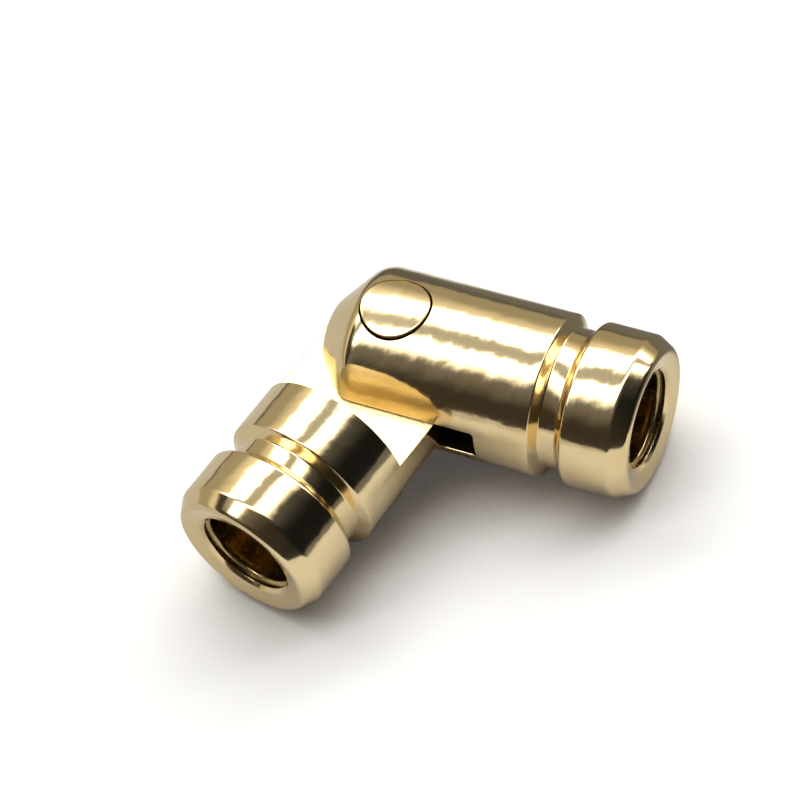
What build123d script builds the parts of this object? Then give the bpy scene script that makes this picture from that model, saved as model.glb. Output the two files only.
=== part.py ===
from build123d import *
import math
import os

os.makedirs("parts", exist_ok=True)

# A miniature barrel hinge in brass. Two turned barrels meet in a fork and a tongue
# and swing about one plain pin. The hinge lies bent on its side with the pin upright.
# Lengths are millimetres and angles are degrees. Z is up and X runs along the fork
# barrel, from the pin to its outer end. The origin is under the middle of the box
# around the hinge, at the level it rests on.

# Both barrels
barrel_d = 5.0
nose_reach = 2.27
nose_flat_d = 2.34
nose_chamfer_length = 1.17
end_face_d = 4.39
end_chamfer_length = 0.56
ring_land_length = 1.50
groove_width = 1.02
groove_d = 4.28
groove_inner_slope = 0.28
groove_outer_slope = 0.36

# Blind bore in the outer end of each barrel
bore_d = 3.00
bore_depth = 3.0
bore_mouth_d = 3.90
bore_mouth_depth = 0.26
drill_point_angle = 118.0

# Fork barrel: a through slot leaves two ears
fork_reach = 8.00
slot_width = 1.12
slot_end = 3.24
slot_corner_r = 0.12

# Tongue barrel: two flats leave a blade with square shoulders
tongue_reach = 8.47
blade_side_clearance = 0.04
shoulder_reach = 3.65

# Pin: tight in the ears, free in the blade
pin_d = 2.16
pin_running_clearance = 0.03

# Angle between the two barrels as the hinge lies
rest_angle = 102.4

barrel_r = barrel_d / 2
pin_r = pin_d / 2
blade_thickness = slot_width - 2 * blade_side_clearance
blade_hole_r = pin_r + pin_running_clearance
cut_margin = 1.0


def turned_blank(reach):
    """Barrel as it leaves the lathe: the pin's axis crosses it at X = 0."""
    ring_start = reach - end_chamfer_length - ring_land_length
    body_end = ring_start - groove_width
    outline = [
        (-nose_reach, 0),
        (-nose_reach, nose_flat_d / 2),
        (-nose_reach + nose_chamfer_length, barrel_r),
        (body_end, barrel_r),
        (body_end + groove_inner_slope, groove_d / 2),
        (ring_start - groove_outer_slope, groove_d / 2),
        (ring_start, barrel_r),
        (reach - end_chamfer_length, barrel_r),
        (reach, end_face_d / 2),
        (reach, 0),
    ]
    section = Plane.XZ * make_face(Polyline(*outline, close=True))
    return revolve(section, Axis.X, 360)


def end_bore(reach):
    """Drilled hole with a shallow funnel at its mouth and a drill point at its floor."""
    point_length = bore_d / 2 / math.tan(math.radians(drill_point_angle / 2))
    outline = [
        (reach, 0),
        (reach, bore_mouth_d / 2),
        (reach - bore_mouth_depth, bore_d / 2),
        (reach - bore_depth, bore_d / 2),
        (reach - bore_depth - point_length, 0),
    ]
    section = Plane.XZ * make_face(Polyline(*outline, close=True))
    return revolve(section, Axis.X, 360)


def upright_rod(radius):
    """Rod along the pin's axis, longer than the barrel is wide."""
    return Cylinder(radius, barrel_d + 2 * cut_margin)


def ear_slot():
    """Cutter for the slot: open at the nose, flat at its end with rounded corners."""
    length = slot_end + nose_reach + cut_margin
    cutter = Pos(slot_end - length / 2, 0, 0) * Box(length, barrel_d + 2 * cut_margin, slot_width)
    far_corners = cutter.edges().filter_by(Axis.Y).group_by(Axis.X)[-1]
    return fillet(far_corners, slot_corner_r)


def flat_cutter(side):
    """Cutter for one flat of the blade, above the blade for side 1 and below for -1."""
    length = shoulder_reach + nose_reach + cut_margin
    height = barrel_r + cut_margin
    middle = side * (blade_thickness / 2 + height / 2)
    return Pos(shoulder_reach - length / 2, 0, middle) * Box(
        length, barrel_d + 2 * cut_margin, height
    )


fork_barrel = turned_blank(fork_reach) - end_bore(fork_reach)
fork_barrel = fork_barrel - ear_slot() - upright_rod(pin_r)

tongue_barrel = turned_blank(tongue_reach) - end_bore(tongue_reach)
tongue_barrel = tongue_barrel - flat_cutter(1) - flat_cutter(-1)
tongue_barrel = tongue_barrel - upright_rod(blade_hole_r)
tongue_barrel = Rot(0, 0, -rest_angle) * tongue_barrel

# The pin's two ends are dressed flush with the round of the fork
pivot_pin = upright_rod(pin_r) & turned_blank(fork_reach)

# The hinge rests on its barrels, with the middle of its box over the origin
box = (fork_barrel + tongue_barrel).bounding_box()
seat = Pos(-box.center().X, -box.center().Y, barrel_r)

for name, shape in (
    ("fork_barrel", fork_barrel),
    ("tongue_barrel", tongue_barrel),
    ("pivot_pin", pivot_pin),
):
    export_step(seat * shape, "parts/" + name + ".step")
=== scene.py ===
"""Looks of a miniature barrel hinge in polished brass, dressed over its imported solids."""

import logging
import math
from dataclasses import dataclass, field
from enum import Enum

import bmesh
import bpy
import numpy as np
from mathutils import Matrix, Vector


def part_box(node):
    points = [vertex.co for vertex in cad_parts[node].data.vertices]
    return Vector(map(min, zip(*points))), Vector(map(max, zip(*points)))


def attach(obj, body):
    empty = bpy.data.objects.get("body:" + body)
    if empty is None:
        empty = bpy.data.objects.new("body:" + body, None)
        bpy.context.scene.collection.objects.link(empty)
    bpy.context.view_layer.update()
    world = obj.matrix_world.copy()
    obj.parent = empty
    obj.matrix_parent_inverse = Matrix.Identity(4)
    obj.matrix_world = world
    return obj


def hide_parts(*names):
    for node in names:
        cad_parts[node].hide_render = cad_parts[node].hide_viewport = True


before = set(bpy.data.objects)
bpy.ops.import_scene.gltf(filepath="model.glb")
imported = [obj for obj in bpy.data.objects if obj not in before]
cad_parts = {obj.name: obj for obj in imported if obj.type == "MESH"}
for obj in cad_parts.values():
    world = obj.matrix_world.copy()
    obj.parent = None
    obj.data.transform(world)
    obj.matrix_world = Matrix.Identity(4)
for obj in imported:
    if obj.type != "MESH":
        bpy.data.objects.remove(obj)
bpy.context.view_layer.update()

LOG = logging.getLogger("barrel_hinge")
MM = 0.001

# Points closer than this, in millimetres, are one point.
SAME_POINT_MM = 1e-5
# A face within this of a plane lies on it, and a normal this close to an axis is along it.
ON_PLANE_MM = 0.01
ALONG_AXIS = 0.99
# Edges bent by more than this stay sharp.
SHARP_DEGREES = 35
# Large faces lead in the shading of their corners, where 50 would be even.
NORMAL_WEIGHT = 80
# Places of the points of a rounded slot or blade edge, as shares of its run.
EDGE_SHARES = (0.25, 0.5, 0.75)


def linear(hex_colour: str) -> tuple[float, float, float, float]:
    """Turns an sRGB hex colour to linear light.

    Args:
        hex_colour: six hex digits, with or without a leading hash.

    Returns:
        Red, green, blue and an alpha of one.
    """
    digits = hex_colour.lstrip("#")
    parts = [int(digits[i : i + 2], 16) / 255 for i in (0, 2, 4)]
    r, g, b = (c / 12.92 if c <= 0.04045 else ((c + 0.055) / 1.055) ** 2.4 for c in parts)
    return (r, g, b, 1.0)


def add_node(
    tree: bpy.types.NodeTree,
    kind: str,
    settings: dict[str | int, object] | None = None,
    **links: bpy.types.NodeSocket,
) -> bpy.types.Node:
    """Adds one shader node with its settings, values and links.

    Args:
        tree: the node tree to add to.
        kind: the node's type name.
        settings: properties of the node; a key that is a socket's name or number sets its value.
        links: the socket that feeds each input, by the input's name with underscores for
            spaces, or by its number as _0.

    Returns:
        The new node.
    """
    node = tree.nodes.new(kind)
    for key, value in (settings or {}).items():
        if isinstance(key, str) and hasattr(node, key):
            setattr(node, key, value)
        else:
            node.inputs[key].default_value = value
    for key, source in links.items():
        slot = int(key[1:]) if key.startswith("_") else key.replace("_", " ")
        tree.links.new(source, node.inputs[slot])
    return node


class Side(Enum):
    """The upper and the lower half of the hinge, each with an ear and an end of the pin."""

    TOP = 1
    UNDER = -1


@dataclass(frozen=True)
class Brass:
    """One finish of the pale free-cutting brass that all three parts are made of.

    Attributes:
        name: the material's name.
        roughness: how dull the skin is, from 0 for a mirror.
        skin: colour of clean brass, a pale champagne gold.
        dulled: colour of the brass where it has begun to dull, a shade warmer.
        grain_mm: spacing of the tool marks along the barrel.
        grain_height_mm: height of the tool marks.
        peel_mm: size of the soft dimples that tumbling leaves.
        peel_height_mm: depth of the dimples.
        scratch_mm: size of the specks where the gloss changes.
        patch_mm: size of the dulled patches.
        patch_range: levels of the pattern where a patch begins and is full.
        patch_share: how far the fullest patch goes to the dulled colour.
        gloss_range: levels of the pattern for the brightest and the dullest specks.
        gloss_spread: their roughness as shares of the skin's.
        around_per_m: how fast the tool marks change round the barrel, per metre.
    """

    name: str
    roughness: float
    skin: str = "#F3DCAB"
    dulled: str = "#EBCE95"
    grain_mm: float = 0.12
    grain_height_mm: float = 0.0005
    peel_mm: float = 0.55
    peel_height_mm: float = 0.0140
    scratch_mm: float = 0.05
    patch_mm: float = 1.7
    patch_range: tuple[float, float] = (0.42, 0.72)
    patch_share: float = 0.80
    gloss_range: tuple[float, float] = (0.35, 0.70)
    gloss_spread: tuple[float, float] = (0.75, 1.5)
    around_per_m: float = 60.0

    def build(self) -> bpy.types.Material:
        """Builds the finish.

        Returns:
            The new material.
        """
        material = bpy.data.materials.new(self.name)
        material.use_nodes = True
        tree = material.node_tree
        tree.nodes.clear()
        place = add_node(tree, "ShaderNodeTexCoord").outputs["Object"]
        # Dulled patches near two millimetres across, only a shade warmer than the skin.
        patches = add_node(
            tree,
            "ShaderNodeTexNoise",
            {"Scale": 1 / (self.patch_mm * MM), "Detail": 4.0, "Roughness": 0.6},
            Vector=place,
        )
        patch_share = add_node(
            tree,
            "ShaderNodeMapRange",
            {
                "From Min": self.patch_range[0],
                "From Max": self.patch_range[1],
                "To Min": 0.0,
                "To Max": self.patch_share,
            },
            Value=patches.outputs["Fac"],
        )
        colour = add_node(
            tree,
            "ShaderNodeMix",
            {"data_type": "RGBA", 6: linear(self.skin), 7: linear(self.dulled)},
            Factor=patch_share.outputs["Result"],
        )
        # Tool marks run round the barrel. The real feed is about 0.03 mm, too fine to show,
        # so the marks are drawn coarser.
        around = add_node(
            tree,
            "ShaderNodeMapping",
            {"Scale": (1 / (self.grain_mm * MM), self.around_per_m, self.around_per_m)},
            Vector=place,
        )
        grain = add_node(
            tree,
            "ShaderNodeTexNoise",
            {"Scale": 1.0, "Detail": 3.0, "Roughness": 0.7},
            Vector=around.outputs["Vector"],
        )
        peel = add_node(
            tree,
            "ShaderNodeTexNoise",
            {"Scale": 1 / (self.peel_mm * MM), "Detail": 2.0, "Roughness": 0.3},
            Vector=place,
        )
        # Tumbling scratches. Real ones are a few microns wide, so they are drawn coarser.
        scratches = add_node(
            tree,
            "ShaderNodeTexNoise",
            {
                "Scale": 1 / (self.scratch_mm * MM),
                "Detail": 2.0,
                "Roughness": 0.7,
                "Distortion": 1.5,
            },
            Vector=place,
        )
        gloss = add_node(
            tree,
            "ShaderNodeMapRange",
            {
                "From Min": self.gloss_range[0],
                "From Max": self.gloss_range[1],
                "To Min": self.roughness * self.gloss_spread[0],
                "To Max": self.roughness * self.gloss_spread[1],
            },
            Value=scratches.outputs["Fac"],
        )
        marked = add_node(
            tree,
            "ShaderNodeBump",
            {"Strength": 1.0, "Distance": self.grain_height_mm * MM},
            Height=grain.outputs["Fac"],
        )
        dimpled = add_node(
            tree,
            "ShaderNodeBump",
            {"Strength": 1.0, "Distance": self.peel_height_mm * MM},
            Height=peel.outputs["Fac"],
            Normal=marked.outputs["Normal"],
        )
        shader = add_node(
            tree,
            "ShaderNodeBsdfPrincipled",
            {"Metallic": 1.0},
            Base_Color=colour.outputs[2],
            Roughness=gloss.outputs["Result"],
            Normal=dimpled.outputs["Normal"],
        )
        add_node(tree, "ShaderNodeOutputMaterial", None, Surface=shader.outputs["BSDF"])
        return material


@dataclass(frozen=True)
class BarrelFinishes:
    """The three finishes that one barrel shows, in the order that its faces number them.

    Attributes:
        turned: bright tumbled skin, a near mirror.
        milled: flats and walls as the cutter left them, dull enough to glow evenly; in the fork's
            slot a dark brown skin paints the shade inside the slot.
        drilled: bore, with a drill's broad rings and a darker skin that paints the shade inside it.
    """

    turned: bpy.types.Material
    milled: bpy.types.Material
    drilled: bpy.types.Material


@dataclass(frozen=True)
class Corner:
    """One corner of a turned outline, in millimetres.

    Attributes:
        x: distance along the barrel from the pin.
        r: distance from the barrel's axis.
        ease: radius that the corner is rounded to, about.
    """

    x: float
    r: float
    ease: float = 0.0


def eased_outline(corners: list[Corner], steps: int) -> list[tuple[float, float]]:
    """Rounds the corners of a turned outline.

    Args:
        corners: the outline's corners in order.
        steps: runs that each rounded corner is divided into.

    Returns:
        Points (x, r) along the outline.
    """
    points: list[tuple[float, float]] = []
    for i, corner in enumerate(corners):
        here = np.array((corner.x, corner.r))
        if corner.ease == 0 or i in (0, len(corners) - 1):
            points.append((corner.x, corner.r))
            continue
        back = np.array((corners[i - 1].x, corners[i - 1].r)) - here
        ahead = np.array((corners[i + 1].x, corners[i + 1].r)) - here
        back /= np.linalg.norm(back)
        ahead /= np.linalg.norm(ahead)
        half = math.acos(max(-1.0, min(1.0, float(back @ ahead)))) / 2
        reach = corner.ease / math.tan(half)
        start, end = here + back * reach, here + ahead * reach
        for k in range(steps + 1):
            t = k / steps
            point = start * (1 - t) ** 2 + here * 2 * t * (1 - t) + end * t**2
            points.append((float(point[0]), float(point[1])))
    return points


def divided(points: list[tuple[float, float]], longest: float) -> list[tuple[float, float]]:
    """Divides the long runs of an outline.

    Args:
        points: points (x, r) along the outline.
        longest: longest run to leave, in millimetres.

    Returns:
        The outline with more points.
    """
    out = [points[0]]
    for (x0, r0), (x1, r1) in zip(points, points[1:]):
        runs = max(1, math.ceil(math.hypot(x1 - x0, r1 - r0) / longest))
        out += [(x0 + (x1 - x0) * k / runs, r0 + (r1 - r0) * k / runs) for k in range(1, runs + 1)]
    return out


@dataclass
class MeshPlan:
    """Points and faces of one mesh, in millimetres, gathered loop by loop.

    Attributes:
        points: places of its points, with X along the barrel.
        faces: the numbers of each face's points.
    """

    points: list[tuple[float, float, float]] = field(default_factory=list)
    faces: list[list[int]] = field(default_factory=list)

    def loop(self, x: float, ring: list[tuple[float, float]]) -> list[int]:
        """Adds one loop of points square to the barrel.

        Args:
            x: the loop's place along the barrel.
            ring: its points as (y, z).

        Returns:
            The new points' numbers.
        """
        first = len(self.points)
        self.points += [(x, y, z) for y, z in ring]
        return list(range(first, len(self.points)))

    def skin(self, a: list[int], b: list[int]) -> None:
        """Joins two closed loops of equal length with quads.

        Args:
            a: the first loop's numbers.
            b: the second loop's numbers.
        """
        for i in range(len(a)):
            j = (i + 1) % len(a)
            self.faces.append([a[i], a[j], b[j], b[i]])

    def cap(self, loop: list[int]) -> None:
        """Closes a flat loop with one face."""
        self.faces.append(list(loop))

    def hull(self, sections: list[tuple[float, list[tuple[float, float]]]]) -> list[int]:
        """Adds a run of loops, joined to each other and closed at the first.

        Args:
            sections: each loop's place along the barrel and its points as (y, z).

        Returns:
            The last loop's numbers.
        """
        loops = [self.loop(x, ring) for x, ring in sections]
        self.cap(loops[0])
        for near, far in zip(loops, loops[1:]):
            self.skin(near, far)
        return loops[-1]

    def tip(self, loop: list[int], x: float) -> None:
        """Closes a loop with a fan to a point on the barrel's axis.

        Args:
            loop: the loop's numbers.
            x: the point's place along the barrel.
        """
        self.points.append((x, 0.0, 0.0))
        centre = len(self.points) - 1
        for i in range(len(loop)):
            self.faces.append([loop[i], loop[(i + 1) % len(loop)], centre])

    def mesh(self, name: str) -> bpy.types.Mesh:
        """Makes the mesh with its faces all turned outward.

        Args:
            name: the mesh's name.

        Returns:
            The mesh, still in millimetres.
        """
        made = bpy.data.meshes.new(name)
        made.from_pydata(self.points, [], self.faces)
        made.validate()
        work = bmesh.new()
        work.from_mesh(made)
        bmesh.ops.remove_doubles(work, verts=work.verts, dist=SAME_POINT_MM)
        bmesh.ops.recalc_face_normals(work, faces=work.faces)
        work.to_mesh(made)
        work.free()
        return made


@dataclass
class Barrel:
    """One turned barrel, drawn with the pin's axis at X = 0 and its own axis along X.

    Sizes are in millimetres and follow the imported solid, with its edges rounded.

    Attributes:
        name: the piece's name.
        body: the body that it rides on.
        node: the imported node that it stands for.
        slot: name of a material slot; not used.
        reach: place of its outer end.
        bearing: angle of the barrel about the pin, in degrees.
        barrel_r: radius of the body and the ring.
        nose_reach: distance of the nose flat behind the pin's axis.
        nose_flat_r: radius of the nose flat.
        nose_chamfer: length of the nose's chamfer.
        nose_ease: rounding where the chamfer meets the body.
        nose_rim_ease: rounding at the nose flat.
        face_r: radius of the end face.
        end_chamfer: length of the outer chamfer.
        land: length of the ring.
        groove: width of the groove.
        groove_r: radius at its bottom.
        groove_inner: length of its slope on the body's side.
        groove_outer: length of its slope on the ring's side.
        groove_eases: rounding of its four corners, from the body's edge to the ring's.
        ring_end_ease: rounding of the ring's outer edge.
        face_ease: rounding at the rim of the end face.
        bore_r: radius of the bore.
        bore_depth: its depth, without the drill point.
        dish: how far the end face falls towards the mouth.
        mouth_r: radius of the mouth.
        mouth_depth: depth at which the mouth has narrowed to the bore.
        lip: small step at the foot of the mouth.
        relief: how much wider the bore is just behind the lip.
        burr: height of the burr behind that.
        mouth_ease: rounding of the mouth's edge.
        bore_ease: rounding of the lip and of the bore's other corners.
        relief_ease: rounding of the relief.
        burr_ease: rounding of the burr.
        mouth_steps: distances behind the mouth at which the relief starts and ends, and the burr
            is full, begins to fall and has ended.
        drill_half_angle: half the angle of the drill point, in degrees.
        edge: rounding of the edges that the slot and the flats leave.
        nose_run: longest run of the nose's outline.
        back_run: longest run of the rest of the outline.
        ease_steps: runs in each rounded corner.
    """

    name: str
    body: str
    node: str
    slot: str
    reach: float
    bearing: float
    barrel_r: float = 2.5
    nose_reach: float = 2.27
    nose_flat_r: float = 1.17
    nose_chamfer: float = 1.17
    nose_ease: float = 0.80
    nose_rim_ease: float = 0.25
    face_r: float = 2.195
    end_chamfer: float = 0.56
    land: float = 1.50
    groove: float = 1.02
    groove_r: float = 2.14
    groove_inner: float = 0.22
    groove_outer: float = 0.27
    groove_eases: tuple[float, float, float, float] = (0.06, 0.08, 0.06, 0.14)
    ring_end_ease: float = 0.25
    face_ease: float = 0.24
    bore_r: float = 1.50
    bore_depth: float = 3.0
    dish: float = 0.16
    mouth_r: float = 1.61
    mouth_depth: float = 0.26
    lip: float = 0.02
    relief: float = 0.03
    burr: float = 0.08
    mouth_ease: float = 0.03
    bore_ease: float = 0.02
    relief_ease: float = 0.01
    burr_ease: float = 0.08
    mouth_steps: tuple[float, float, float, float, float] = (0.03, 0.13, 0.20, 0.36, 0.46)
    drill_half_angle: float = 59.0
    edge: float = 0.035
    nose_run: float = 0.12
    back_run: float = 0.30
    ease_steps: int = 6

    def front_outline(self, stop: float) -> list[tuple[float, float]]:
        """Outlines the barrel's nose and the part of the body next to it.

        Args:
            stop: place along the barrel where the outline ends.

        Returns:
            Points (x, r) from the rim of the nose flat to there.
        """
        corners = [
            Corner(-self.nose_reach, self.nose_flat_r - self.nose_rim_ease),
            Corner(-self.nose_reach, self.nose_flat_r, self.nose_rim_ease),
            Corner(-self.nose_reach + self.nose_chamfer, self.barrel_r, self.nose_ease),
            Corner(stop, self.barrel_r),
        ]
        points = divided(eased_outline(corners, self.ease_steps), self.nose_run)
        # The nose end is one flat face, so only the rim of it is kept.
        on_flat = sum(1 for x, _ in points if x < SAME_POINT_MM - self.nose_reach)
        return points[on_flat - 1 :]

    def back_outline(self, start: float) -> list[tuple[float, float]]:
        """Outlines the rest of the body, the groove, the ring, the end face and the bore.

        Args:
            start: place along the barrel where the outline starts.

        Returns:
            Points (x, r) from there to the edge of the drill point.
        """
        ring_end = self.reach - self.end_chamfer
        ring_start = ring_end - self.land
        body_end = ring_start - self.groove
        mouth = self.reach - self.mouth_depth
        floor = self.reach - self.bore_depth
        slope = math.tan(math.radians(self.drill_half_angle))
        relieved, rising, full, falling, ended = (mouth - step for step in self.mouth_steps)
        body_ease, inner_ease, outer_ease, ring_ease = self.groove_eases
        corners = [
            Corner(start, self.barrel_r),
            Corner(body_end, self.barrel_r, body_ease),
            Corner(body_end + self.groove_inner, self.groove_r, inner_ease),
            Corner(ring_start - self.groove_outer, self.groove_r, outer_ease),
            Corner(ring_start, self.barrel_r, ring_ease),
            Corner(ring_end, self.barrel_r, self.ring_end_ease),
            Corner(self.reach, self.face_r, self.face_ease),
            Corner(self.reach - self.dish, self.mouth_r, self.mouth_ease),
            Corner(mouth, self.bore_r - self.lip, self.bore_ease),
            Corner(relieved, self.bore_r + self.relief, self.relief_ease),
            Corner(rising, self.bore_r + self.relief, self.relief_ease),
            Corner(full, self.bore_r - self.burr, self.burr_ease),
            Corner(falling, self.bore_r - self.burr, self.burr_ease),
            Corner(ended, self.bore_r, self.bore_ease),
            Corner(floor, self.bore_r, self.bore_ease),
            Corner(floor - self.lip / slope, self.bore_r - self.lip),
        ]
        return divided(eased_outline(corners, self.ease_steps), self.back_run)

    def drill_tip(self) -> float:
        """Place of the drill point along the barrel."""
        slope = math.tan(math.radians(self.drill_half_angle))
        return self.reach - self.bore_depth - self.bore_r / slope

    def close_back(self, plan: MeshPlan, rim: list[int], start: float) -> None:
        """Runs a mesh on from where the barrel is fully round, round the ring and down the bore.

        Args:
            plan: the mesh so far.
            rim: numbers of the points round the barrel that it runs on from.
            start: place of those points along the barrel.
        """
        angles = [math.atan2(plan.points[i][2], plan.points[i][1]) for i in rim]
        before = rim
        for x, r in self.back_outline(start)[1:]:
            here = plan.loop(x, [(r * math.cos(a), r * math.sin(a)) for a in angles])
            plan.skin(before, here)
            before = here
        plan.tip(before, self.drill_tip())

    def finish_piece(
        self, mesh: bpy.types.Mesh, finishes: BarrelFinishes, flat_half: float, wall_x: float
    ) -> bpy.types.Object:
        """Turns a finished mesh into the piece that stands for this barrel.

        Args:
            mesh: the mesh in millimetres, in the barrel's own axes.
            finishes: the barrel's finishes.
            flat_half: distance of the flats from the barrel's middle.
            wall_x: place of the wall that the flats end at, along the barrel.

        Returns:
            The piece, riding on its body.
        """
        bore_start = self.drill_tip() - ON_PLANE_MM
        bore_end = self.reach - self.mouth_depth
        widest_bore = self.bore_r + self.relief + ON_PLANE_MM
        for face in mesh.polygons:
            x, y, z = face.center
            flat = abs(face.normal.z) > ALONG_AXIS and abs(abs(z) - flat_half) < ON_PLANE_MM
            wall = abs(face.normal.x) > ALONG_AXIS and abs(x - wall_x) < ON_PLANE_MM
            bored = bore_start < x < bore_end and math.hypot(y, z) < widest_bore
            face.material_index = 2 if bored else 1 if flat or wall else 0
        materials = [finishes.turned, finishes.milled, finishes.drilled]
        piece = place_piece(self.name, mesh, materials, self.bearing)
        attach(piece, self.body)
        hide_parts(self.node)
        return piece


def pivot_point() -> Vector:
    """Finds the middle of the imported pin.

    Returns:
        Its place in the frame, in metres.
    """
    low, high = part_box("pivot_pin")
    return (low + high) / 2


def place_piece(
    name: str, mesh: bpy.types.Mesh, materials: list[bpy.types.Material], bearing: float
) -> bpy.types.Object:
    """Scales a mesh to metres, smooths it and sets it at the pin.

    Args:
        name: the piece's name.
        mesh: its mesh in millimetres.
        materials: its finishes, in the order that its faces number them.
        bearing: angle of its own X axis about the pin, in degrees.

    Returns:
        The placed object.
    """
    indices = [face.material_index for face in mesh.polygons]
    mesh.transform(Matrix.Scale(MM, 4))
    mesh.materials.clear()
    for material in materials:
        mesh.materials.append(material)
    mesh.polygons.foreach_set("material_index", indices)
    mesh.shade_smooth()
    piece = bpy.data.objects.new(name, mesh)
    bpy.context.scene.collection.objects.link(piece)
    piece.location = pivot_point()
    piece.rotation_euler = (0.0, 0.0, math.radians(bearing))
    mesh.set_sharp_from_angle(angle=math.radians(SHARP_DEGREES))
    weighted = piece.modifiers.new("even_normals", "WEIGHTED_NORMAL")
    weighted.weight = NORMAL_WEIGHT
    weighted.keep_sharp = True
    return piece


def round_cutter(
    radius: float, half_height: float = 4.0, sides: int = 192, turn: float = 0.37
) -> bpy.types.Object:
    """Makes an upright rod, in millimetres, to cut a hole with.

    Args:
        radius: the rod's radius.
        half_height: its reach above and below the origin.
        sides: flats around it.
        turn: share of a flat that it is turned by, so that no corner of it meets an edge.

    Returns:
        The cutter.
    """
    angles = [2 * math.pi * (k + turn) / sides for k in range(sides)]
    ring = [(radius * math.cos(a), radius * math.sin(a)) for a in angles]
    points = [(x, y, z) for z in (-half_height, half_height) for x, y in ring]
    faces = [[k, (k + 1) % sides, sides + (k + 1) % sides, sides + k] for k in range(sides)]
    faces += [list(range(sides))[::-1], list(range(sides, 2 * sides))]
    mesh = bpy.data.meshes.new("cutter")
    mesh.from_pydata(points, [], faces)
    cutter = bpy.data.objects.new("cutter", mesh)
    bpy.context.scene.collection.objects.link(cutter)
    return cutter


def drilled(mesh: bpy.types.Mesh, radius: float) -> bpy.types.Mesh:
    """Drills an upright hole through a mesh at its origin.

    Args:
        mesh: the mesh in millimetres.
        radius: the hole's radius.

    Returns:
        A new mesh with the hole.
    """
    blank = bpy.data.objects.new("blank", mesh)
    bpy.context.scene.collection.objects.link(blank)
    cutter = round_cutter(radius)
    cut = blank.modifiers.new("hole", "BOOLEAN")
    cut.operation = "DIFFERENCE"
    cut.solver = "EXACT"
    cut.object = cutter
    bpy.context.view_layer.update()
    seen = blank.evaluated_get(bpy.context.evaluated_depsgraph_get())
    result = bpy.data.meshes.new_from_object(seen)
    bpy.data.objects.remove(blank)
    bpy.data.objects.remove(cutter)
    return result


def arc(radius: float, start: float, stop: float, count: int) -> list[tuple[float, float]]:
    """Lays points along an arc round the barrel's axis.

    Args:
        radius: the arc's radius.
        start: angle of its first point, in radians from +Y.
        stop: angle of its last point.
        count: how many points it has.

    Returns:
        The points as (y, z).
    """
    return [
        (radius * math.cos(a), radius * math.sin(a)) for a in np.linspace(start, stop, count)
    ]


def eased_corner(
    a: tuple[float, float], corner: tuple[float, float], b: tuple[float, float]
) -> list[tuple[float, float]]:
    """Finds the points of a rounded corner.

    Args:
        a: where the corner starts, as (y, z).
        corner: the sharp corner.
        b: where it ends.

    Returns:
        The points between a and b, without those two.
    """
    out = []
    for t in EDGE_SHARES:
        y, z = (a[i] * (1 - t) ** 2 + corner[i] * 2 * t * (1 - t) + b[i] * t**2 for i in (0, 1))
        out.append((y, z))
    return out


@dataclass
class ForkBarrel(Barrel):
    """The longer barrel, slotted through to leave two ears that hold the pin.

    Attributes:
        slot_half: half the slot's width.
        slot_end: place of its flat end.
        slot_corner: rounding of its inner corners.
        corner_steps: rings along that rounding.
        pin_hole_r: radius of the hole that holds the pin.
        ear_points: points round the outside of each ear.
        side_points: points down each side of the slot's end.
        chord_points: points across each of its flats.
    """

    slot_half: float = 0.56
    slot_end: float = 3.24
    slot_corner: float = 0.12
    corner_steps: int = 8
    pin_hole_r: float = 1.11
    ear_points: int = 121
    side_points: int = 15
    chord_points: int = 25

    def ear(self, x: float, r: float) -> list[tuple[float, float]]:
        """Outlines the upper ear at one place along the barrel.

        Args:
            x: the place.
            r: the barrel's radius there.

        Returns:
            Its points as (y, z).
        """
        half, ease = self.slot_half, self.edge
        into = x - (self.slot_end - self.slot_corner)
        if into > 0:
            half -= self.slot_corner - math.sqrt(max(0.0, self.slot_corner**2 - into**2))
            ease *= max(0.0, 1 - into / self.slot_corner)
        edge_y = math.sqrt(r * r - half * half)
        start = math.asin(half / r) + ease / r
        outer = arc(r, start, math.pi - start, self.ear_points)
        right, left = (edge_y - ease, half), (-edge_y + ease, half)
        chord = [
            (left[0] + (right[0] - left[0]) * k / (self.chord_points - 1), half)
            for k in range(self.chord_points)
        ]
        return (
            outer
            + eased_corner(outer[-1], (-edge_y, half), left)
            + chord
            + eased_corner(right, (edge_y, half), outer[0])
        )

    def build(self, finishes: BarrelFinishes) -> bpy.types.Object:
        """Builds the barrel.

        Args:
            finishes: the barrel's finishes.

        Returns:
            The piece.
        """
        plan = MeshPlan()
        front = self.front_outline(self.slot_end - self.slot_corner)
        corner = [
            (self.slot_end - self.slot_corner * (1 - math.sin(a)), self.barrel_r)
            for a in np.linspace(0, math.pi / 2, self.corner_steps + 1)[1:]
        ]
        top, under = (
            plan.hull(
                [(x, [(y, z * side.value) for y, z in self.ear(x, r)]) for x, r in front + corner]
            )
            for side in Side
        )
        n = self.ear_points
        chord_start = n + len(EDGE_SHARES)
        low = math.asin((self.slot_half - self.slot_corner) / self.barrel_r)
        right_side = plan.loop(self.slot_end, arc(self.barrel_r, -low, low, self.side_points))
        left_side = plan.loop(
            self.slot_end, arc(self.barrel_r, math.pi - low, math.pi + low, self.side_points)
        )
        top_chord = top[chord_start : chord_start + self.chord_points]
        under_chord = under[chord_start : chord_start + self.chord_points]
        plan.cap(right_side[1:-1] + top_chord[::-1] + left_side[1:-1] + under_chord)
        round_loop = right_side[1:-1] + top[:n] + left_side[1:-1] + under[:n][::-1]
        self.close_back(plan, round_loop, self.slot_end)
        mesh = drilled(plan.mesh(self.name), self.pin_hole_r)
        return self.finish_piece(mesh, finishes, self.slot_half, self.slot_end)


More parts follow.
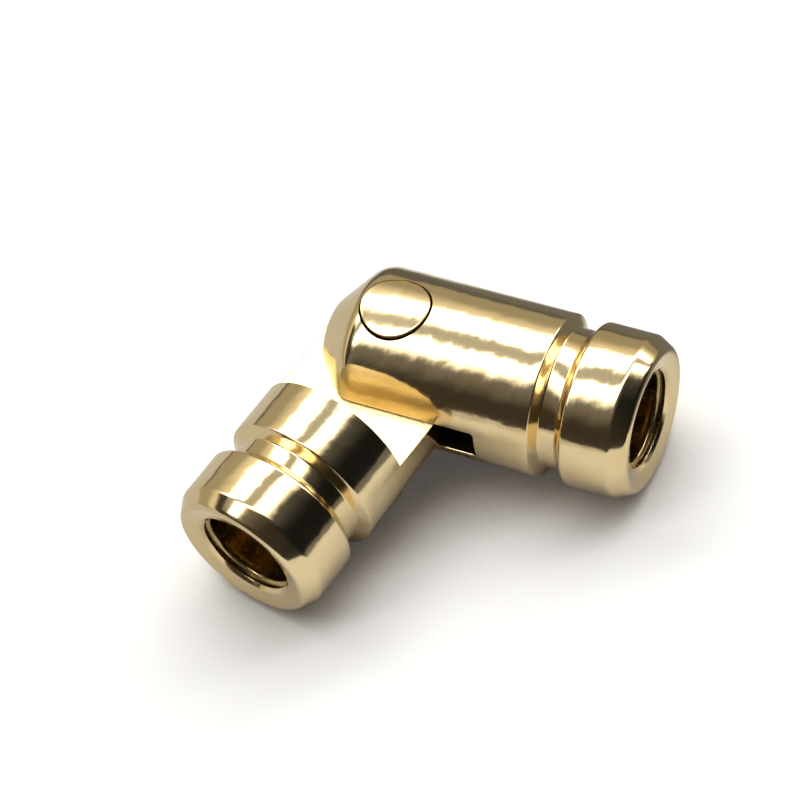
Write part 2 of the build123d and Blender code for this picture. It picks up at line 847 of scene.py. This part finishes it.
@dataclass
class TongueBarrel(Barrel):
    """The shorter barrel, with two flats milled back to square shoulders.

    Attributes:
        blade_half: half the blade's thickness.
        shoulder: place of the shoulders.
        blade_hole_r: radius of the hole that the pin runs in.
        side_points: points down each side of the blade.
        face_points: points round each shoulder.
        chord_points: points across each flat.
    """

    blade_half: float = 0.52
    shoulder: float = 3.65
    blade_hole_r: float = 1.11
    side_points: int = 17
    face_points: int = 121
    chord_points: int = 25

    def band(self, r: float) -> list[tuple[float, float]]:
        """Outlines the blade at one place along the barrel.

        Args:
            r: the barrel's radius there.

        Returns:
            Its points as (y, z).
        """
        half, ease = self.blade_half, self.edge
        edge_y = math.sqrt(r * r - half * half)
        stop = math.asin(half / r) - ease / r
        out: list[tuple[float, float]] = []
        for turn in (1, -1):
            side = [(turn * y, turn * z) for y, z in arc(r, -stop, stop, self.side_points)]
            near = (turn * (edge_y - ease), turn * half)
            far = (-turn * (edge_y - ease), turn * half)
            flat = [
                (near[0] + (far[0] - near[0]) * k / (self.chord_points - 1), turn * half)
                for k in range(self.chord_points)
            ]
            next_side = (-side[0][0], side[-1][1])
            out += side
            out += eased_corner(side[-1], (turn * edge_y, turn * half), near)
            out += flat
            out += eased_corner(far, (-turn * edge_y, turn * half), next_side)
        return out

    def build(self, finishes: BarrelFinishes) -> bpy.types.Object:
        """Builds the barrel.

        Args:
            finishes: the barrel's finishes.

        Returns:
            The piece.
        """
        plan = MeshPlan()
        end = plan.hull([(x, self.band(r)) for x, r in self.front_outline(self.shoulder)])
        s = self.side_points
        half_count = s + self.chord_points + 2 * len(EDGE_SHARES)
        start = math.asin(self.blade_half / self.barrel_r) - self.edge / self.barrel_r
        round_loop: list[int] = []
        for k in range(2):
            offset = k * half_count
            side = end[offset : offset + s]
            rest = end[offset + s : offset + half_count]
            next_side = end[(offset + half_count) % (2 * half_count)]
            turn = k * math.pi
            rim = arc(self.barrel_r, turn + start, turn + math.pi - start, self.face_points)
            moon = plan.loop(self.shoulder, rim[1:-1])
            plan.cap([side[-1]] + moon + [next_side] + rest[::-1])
            round_loop += side + moon
        self.close_back(plan, round_loop, self.shoulder)
        mesh = drilled(plan.mesh(self.name), self.blade_hole_r)
        return self.finish_piece(mesh, finishes, self.blade_half, self.shoulder)


@dataclass
class PivotPin:
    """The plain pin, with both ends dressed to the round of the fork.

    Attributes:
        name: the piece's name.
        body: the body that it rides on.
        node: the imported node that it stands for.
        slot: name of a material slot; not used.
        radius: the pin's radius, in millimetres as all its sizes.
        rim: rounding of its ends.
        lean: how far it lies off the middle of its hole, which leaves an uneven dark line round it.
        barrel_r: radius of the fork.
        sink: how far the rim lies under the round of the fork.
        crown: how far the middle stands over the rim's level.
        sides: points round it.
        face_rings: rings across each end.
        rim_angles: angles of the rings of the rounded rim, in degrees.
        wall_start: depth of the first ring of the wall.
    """

    name: str = "pin_dressed_flush"
    body: str = "fork"
    node: str = "pivot_pin"
    slot: str = "pin_brass"
    radius: float = 1.05
    rim: float = 0.03
    lean: tuple[float, float] = (-0.030, 0.047)
    barrel_r: float = 2.5
    sink: float = 0.020
    crown: float = 0.020
    sides: int = 160
    face_rings: int = 14
    rim_angles: tuple[int, int, int] = (30, 60, 90)
    wall_start: float = 0.4

    def end_height(self, x: float, y: float) -> float:
        """Height of the dressed end above the pin's middle."""
        share = math.dist((x, y), self.lean) / self.radius
        return math.sqrt(self.barrel_r**2 - y * y) - self.sink + self.crown * (1 - share**2)

    def build(self, material: bpy.types.Material) -> bpy.types.Object:
        """Builds the pin.

        Args:
            material: its finish.

        Returns:
            The piece.
        """
        points: list[tuple[float, float, float]] = []
        faces: list[list[int]] = []
        rings: list[list[int]] = []
        joined: list[tuple[list[int], list[int]]] = []
        radii = [self.radius * k / self.face_rings for k in range(1, self.face_rings)]
        radii.append(self.radius - self.rim)
        drops = [0.0] * len(radii)
        for angle in self.rim_angles:
            radii.append(self.radius - self.rim * (1 - math.sin(math.radians(angle))))
            drops.append(self.rim * (1 - math.cos(math.radians(angle))))
        radii.append(self.radius)
        drops.append(self.wall_start)
        for side in Side:
            points.append((*self.lean, side.value * self.end_height(*self.lean)))
            centre = len(points) - 1
            own: list[list[int]] = []
            for r, drop in zip(radii, drops):
                first = len(points)
                for k in range(self.sides):
                    a = 2 * math.pi * k / self.sides
                    x, y = self.lean[0] + r * math.cos(a), self.lean[1] + r * math.sin(a)
                    points.append((x, y, side.value * (self.end_height(x, y) - drop)))
                own.append(list(range(first, first + self.sides)))
            faces += [[own[0][k], own[0][(k + 1) % self.sides], centre] for k in range(self.sides)]
            joined += list(zip(own, own[1:]))
            rings.append(own[-1])
        plan = MeshPlan(points, faces)
        for near, far in [*joined, (rings[0], rings[1])]:
            plan.skin(near, far)
        piece = place_piece(self.name, plan.mesh(self.name), [material], 0.0)
        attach(piece, self.body)
        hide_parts(self.node)
        return piece


@dataclass(frozen=True)
class Glow:
    """One soft-edged patch of light in the room round the hinge.

    Attributes:
        level: its strength.
        tilt: angles where it starts, is full, begins to fall and has ended. They are radians from
            straight up, square to the lamps, and positive toward the back of the table.
        along: the same four along the lamps, as shares of a direction.
        colour: its colour.
    """

    level: float
    tilt: tuple[float, float, float, float] = (-9.0, -8.0, 8.0, 9.0)
    along: tuple[float, float, float, float] = (-9.0, -8.0, 8.0, 9.0)
    colour: str = "#FFFFFF"


@dataclass(frozen=True)
class Shade:
    """One way in which the table's grey changes, as the brass mirrors it.

    Attributes:
        way: direction that it changes in.
        near_mm: distance in that direction where the change starts.
        far_mm: distance where it ends.
        near_grey: share of the table's white on the near side.
        far_grey: share on the far side.
    """

    way: tuple[float, float, float]
    near_mm: float
    far_mm: float
    near_grey: float
    far_grey: float


@dataclass
class Studio:
    """A white table under two long soft lamps, in a dim room.

    Attributes:
        table_hex: colour of the table.
        contact_shade_hex: painted shade, the warm brown that the table's colour goes to right
            against the brass.
        contact_shade_mm: distance over which the brass hides the table for that painted shade.
        contact_shade_range: open share of a spot's view where that painted shade is full, and where
            it is gone.
        table_half: half the table's width, in metres.
        lift: light added to the table for the camera.
        shades: greys of the table as the brass mirrors it, behind the hinge and on the left.
        lamp: strength of both lamps.
        lamp_end: reach of the front lamp along its length.
        back_lamp_end: reach of the back lamp.
        lamp_skew: how much the lamps' tilt changes along them.
    """

    table_hex: str = "#F6F5F3"
    # Painted shade: the warm brown that the table goes to right against the brass.
    contact_shade_hex: str = "#7E6234"
    contact_shade_mm: float = 5.0
    contact_shade_range: tuple[float, float] = (0.21, 0.60)
    table_half: float = 0.6
    lift: float = 0.06
    shades: tuple[Shade, Shade] = (
        Shade((0.342, 0.940, 0.0), 7.5, 10.5, 0.66, 0.14),
        Shade((1.0, 0.0, 0.0), -9.0, -4.0, 0.74, 1.0),
    )
    lamp: float = 4.6
    lamp_end: tuple[float, float, float, float] = (-0.83, -0.66, 0.86, 1.0)
    back_lamp_end: tuple[float, float, float, float] = (-0.62, -0.40, 0.86, 1.0)
    lamp_skew: float = -0.04

    def glows(self) -> list[Glow]:
        """Lists the room's patches of light.

        Returns:
            The patches, from the front of the table to the back.
        """
        return [
            # Dim room: browner on the left, nearly black on the right.
            Glow(0.012, colour="#DCE8FF"),
            Glow(0.038, along=(-9.0, -8.0, -0.5, 0.5), colour="#FFE6CC"),
            # Faint light high in front, stronger on the left.
            Glow(0.05, (-0.75, -0.25, -0.2, 0.1)),
            Glow(0.07, (-0.75, -0.25, -0.2, 0.1), (-9.0, -8.0, -0.6, 0.1)),
            # Two lamps with a dull strip between them.
            Glow(self.lamp, (-0.205, 0.11, 0.17, 0.22), self.lamp_end),
            Glow(0.42, (0.17, 0.22, 0.43, 0.49), self.lamp_end),
            Glow(self.lamp, (0.43, 0.49, 0.75, 0.89), self.back_lamp_end),
            # Warm back wall, brighter just under the lamp.
            Glow(0.50, tilt=(0.76, 0.88, 0.90, 1.22), colour="#FFF4E2"),
            Glow(0.36, tilt=(0.76, 0.90, 8.0, 9.0), colour="#FFF6DC"),
        ]

    def build_table(self) -> bpy.types.Object:
        """Builds the white table top.

        Returns:
            The table, which is part of the stage.
        """
        h = self.table_half
        mesh = bpy.data.meshes.new("table_top")
        mesh.from_pydata([(-h, -h, 0), (h, -h, 0), (h, h, 0), (-h, h, 0)], [], [[0, 1, 2, 3]])
        table = bpy.data.objects.new("table_top", mesh)
        bpy.context.scene.collection.objects.link(table)
        material = bpy.data.materials.new("matt_white_table")
        material.use_nodes = True
        tree = material.node_tree
        tree.nodes.clear()
        # Painted shade: close to the brass, where the brass hides the table, the table's colour
        # goes to a warm brown tone taken from the brass.
        hidden = add_node(
            tree,
            "ShaderNodeAmbientOcclusion",
            {"samples": 8, "Distance": self.contact_shade_mm * MM},
        )
        open_share = add_node(
            tree,
            "ShaderNodeMapRange",
            {
                "From Min": self.contact_shade_range[0],
                "From Max": self.contact_shade_range[1],
                "To Min": 0.0,
                "To Max": 1.0,
            },
            Value=hidden.outputs["AO"],
        )
        painted_shade_colour = add_node(
            tree,
            "ShaderNodeMix",
            {"data_type": "RGBA", 6: linear(self.contact_shade_hex), 7: linear(self.table_hex)},
            Factor=open_share.outputs["Result"],
        )
        matt = add_node(tree, "ShaderNodeBsdfDiffuse", None, Color=painted_shade_colour.outputs[2])
        # The photograph's table is burnt out to white, so the camera sees it a little lighter.
        lift = add_node(tree, "ShaderNodeEmission", {"Color": (1, 1, 1, 1), "Strength": self.lift})
        both = add_node(tree, "ShaderNodeAddShader", None, _0=matt.outputs[0], _1=lift.outputs[0])
        # The brass mirrors a table that is greyer on the left and darker behind the hinge.
        place = add_node(tree, "ShaderNodeTexCoord").outputs["Object"]
        shares = []
        for shade in self.shades:
            reach = add_node(
                tree, "ShaderNodeVectorMath", {"operation": "DOT_PRODUCT", 1: shade.way}, _0=place
            )
            shares.append(
                add_node(
                    tree,
                    "ShaderNodeMapRange",
                    {
                        "interpolation_type": "SMOOTHSTEP",
                        "From Min": shade.near_mm * MM,
                        "From Max": shade.far_mm * MM,
                        "To Min": shade.near_grey,
                        "To Max": shade.far_grey,
                    },
                    Value=reach.outputs["Value"],
                ).outputs[0]
            )
        grey = add_node(
            tree, "ShaderNodeMath", {"operation": "MULTIPLY"}, _0=shares[0], _1=shares[1]
        )
        mirrored = add_node(tree, "ShaderNodeBsdfDiffuse", None, Color=grey.outputs[0])
        path = add_node(tree, "ShaderNodeLightPath")
        seen = add_node(
            tree,
            "ShaderNodeMixShader",
            None,
            _0=path.outputs["Is Camera Ray"],
            _1=mirrored.outputs[0],
            _2=both.outputs[0],
        )
        add_node(tree, "ShaderNodeOutputMaterial", None, Surface=seen.outputs[0])
        mesh.materials.append(material)
        return table

    def build_room(self) -> None:
        """Lights the scene with the room's patches of light."""
        world = bpy.data.worlds.new("studio_room")
        bpy.context.scene.world = world
        world.use_nodes = True
        tree = world.node_tree
        tree.nodes.clear()
        sky = add_node(tree, "ShaderNodeTexCoord").outputs["Generated"]
        axes = add_node(tree, "ShaderNodeSeparateXYZ", None, Vector=sky)
        half = math.sqrt(0.5)
        across, along = (
            add_node(
                tree, "ShaderNodeVectorMath", {"operation": "DOT_PRODUCT", 1: way}, _0=sky
            ).outputs["Value"]
            for way in ((-half, half, 0.0), (half, half, 0.0))
        )
        flat_tilt = add_node(
            tree, "ShaderNodeMath", {"operation": "ARCTAN2"}, _0=across, _1=axes.outputs["Z"]
        )
        tilt = add_node(
            tree,
            "ShaderNodeMath",
            {"operation": "MULTIPLY_ADD", 1: self.lamp_skew},
            _0=along,
            _2=flat_tilt.outputs[0],
        ).outputs[0]
        total = None
        for glow in self.glows():
            share = None
            for value, (start, full, falls, ends) in ((tilt, glow.tilt), (along, glow.along)):
                for near, far, low, high in ((start, full, 0.0, 1.0), (falls, ends, 1.0, 0.0)):
                    edge = add_node(
                        tree,
                        "ShaderNodeMapRange",
                        {
                            "interpolation_type": "SMOOTHSTEP",
                            "From Min": near,
                            "From Max": far,
                            "To Min": low,
                            "To Max": high,
                        },
                        Value=value,
                    ).outputs[0]
                    if share is None:
                        share = edge
                    else:
                        share = add_node(
                            tree, "ShaderNodeMath", {"operation": "MULTIPLY"}, _0=share, _1=edge
                        ).outputs[0]
            tint = tuple(part * glow.level for part in linear(glow.colour)[:3])
            tinted = add_node(
                tree, "ShaderNodeVectorMath", {"operation": "SCALE", 0: tint}, Scale=share
            ).outputs[0]
            if total is None:
                total = tinted
            else:
                total = add_node(
                    tree, "ShaderNodeVectorMath", {"operation": "ADD"}, _0=total, _1=tinted
                ).outputs[0]
        path = add_node(tree, "ShaderNodeLightPath")
        shown = add_node(
            tree,
            "ShaderNodeMix",
            {"data_type": "VECTOR", 5: (1.0, 1.0, 1.0)},
            _0=path.outputs["Is Camera Ray"],
            _4=total,
        )
        back = add_node(tree, "ShaderNodeBackground", {"Strength": 1.0}, Color=shown.outputs[1])
        add_node(tree, "ShaderNodeOutputWorld", None, Surface=back.outputs[0])


@dataclass
class TableCamera:
    """The camera, above the table and in front, with a long lens.

    Attributes:
        from_pin_mm: its place, from the pin's middle.
        forward: direction that it looks in.
        up: direction that is up in its picture.
        lens_mm: focal length.
        sensor_mm: width of its sensor.
        clip_m: nearest and farthest distance that it sees, in metres.
    """

    from_pin_mm: tuple[float, float, float] = (39.2537, -59.2654, 97.9492)
    forward: tuple[float, float, float] = (-0.322962, 0.480121, -0.815585)
    up: tuple[float, float, float] = (-0.251033, 0.787439, 0.562958)
    lens_mm: float = 181.4
    sensor_mm: float = 36.0
    clip_m: tuple[float, float] = (0.01, 10.0)

    def build(self) -> bpy.types.Object:
        """Builds the camera and makes it the scene's own.

        Returns:
            The camera.
        """
        data = bpy.data.cameras.new("table_camera")
        data.lens = self.lens_mm
        data.sensor_width = self.sensor_mm
        data.clip_start, data.clip_end = self.clip_m
        camera = bpy.data.objects.new("table_camera", data)
        bpy.context.scene.collection.objects.link(camera)
        back = -Vector(self.forward).normalized()
        right = Vector(self.up).cross(back).normalized()
        true_up = back.cross(right)
        turn = Matrix((right, true_up, back)).transposed().to_4x4()
        place = pivot_point() + Vector(self.from_pin_mm) * MM
        camera.matrix_world = Matrix.Translation(place) @ turn
        bpy.context.scene.camera = camera
        return camera


def main() -> None:
    """Builds the hinge, its table, light and camera."""
    logging.basicConfig(level=logging.INFO, format="%(name)s: %(message)s")
    # Turned and then tumbled bright: a soft mirror whose images break up at their edges.
    turned = Brass("turned_brass", roughness=0.11).build()
    # Milled: fine cutter marks spread the light, so the blade glows evenly and looks paler.
    blade = Brass(
        "milled_brass",
        roughness=0.33,
        skin="#E6D9B2",
        dulled="#DCCDA0",
        grain_height_mm=0.003,
        peel_mm=0.12,
    ).build()
    # Sawn: the slot walls get a dark brown skin, painted shade for the inside of the slot.
    slot = Brass("sawn_brass_painted_shade", roughness=0.20, skin="#A58C58", dulled="#8A7040").build()
    # Drilled: the drill's broad rings break the images in the bore into arcs, and a darker skin
    # paints the shade inside the bore.
    bore = Brass(
        "drilled_brass_painted_shade",
        roughness=0.20,
        skin="#CDB47E",
        dulled="#A98C55",
        grain_mm=0.30,
        grain_height_mm=0.003,
        peel_mm=0.90,
        peel_height_mm=0.045,
        scratch_mm=0.40,
    ).build()
    # Dressed with the barrel: a shade duller than the turned skin, so the pin's end shows.
    pin_end = Brass("dressed_brass_pin", roughness=0.14).build()
    fork = ForkBarrel(
        "fork_barrel_turned", "fork", "fork_barrel", "fork_brass", reach=8.00, bearing=0.0
    )
    tongue = TongueBarrel(
        "tongue_barrel_turned",
        "tongue",
        "tongue_barrel",
        "tongue_brass",
        reach=8.47,
        bearing=-102.4,
    )
    studio = Studio()
    for piece in (
        fork.build(BarrelFinishes(turned, slot, bore)),
        tongue.build(BarrelFinishes(turned, blade, bore)),
        PivotPin().build(pin_end),
        studio.build_table(),
    ):
        LOG.info("%s: %d faces", piece.name, len(piece.data.polygons))
    studio.build_room()
    TableCamera().build()
    bpy.context.scene.view_settings.view_transform = "Standard"


if __name__ == "__main__":
    main()
